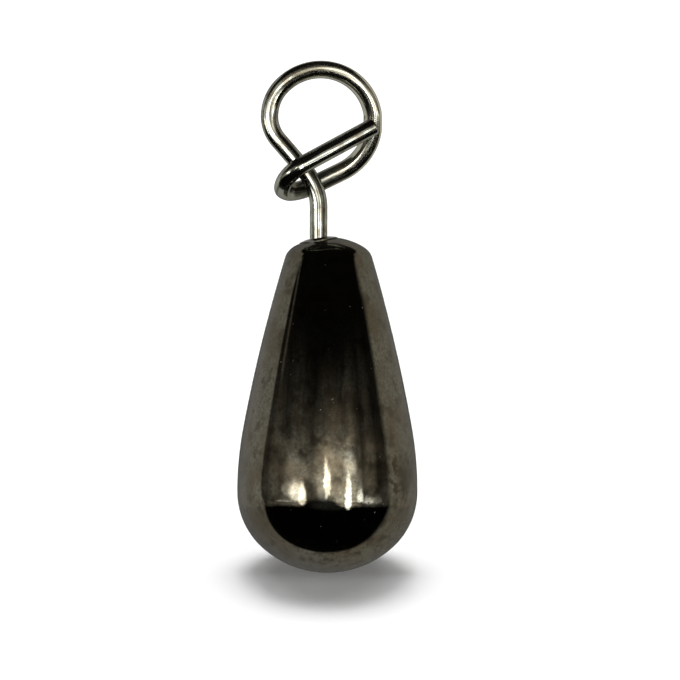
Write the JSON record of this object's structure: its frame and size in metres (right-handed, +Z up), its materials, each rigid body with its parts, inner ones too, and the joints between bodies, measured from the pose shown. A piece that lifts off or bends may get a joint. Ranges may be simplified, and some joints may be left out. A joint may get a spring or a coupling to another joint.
{
  "type": "fishing sinker",
  "caption": "Plated teardrop drop-shot sinker that swivels on a bent round-wire eye, whose cut tail pinches the line against the ring.",
  "frame": {"origin": "on the stem's axis, at the height of the middle of the wire ring, where the line hangs the sinker", "axes": "+Z up along the stem's axis, from the weight to the eye; +X to the right and +Y away from the viewer in the picture; the eye's ring lies near the XZ plane"},
  "size_m": [0.0088, 0.0088, 0.0248],
  "materials": {
    "plated_weight": "polished",
    "barrel_brass": "satin",
    "bond_epoxy": "gloss",
    "plated_wire": "polished"
  },
  "bodies": {
    "eye": {"eye_wire": "plated_wire"},
    "weight": {"weight_body": "plated_weight", "swivel_barrel": "barrel_brass", "barrel_bond": "bond_epoxy"}
  },
  "joints": [
    {"name": "eye_swivel", "type": "hinge", "parent": "eye", "child": "weight", "pos_m": [0, 0, 0], "axis": [0, 0, 1], "continuous": true}
  ]
}
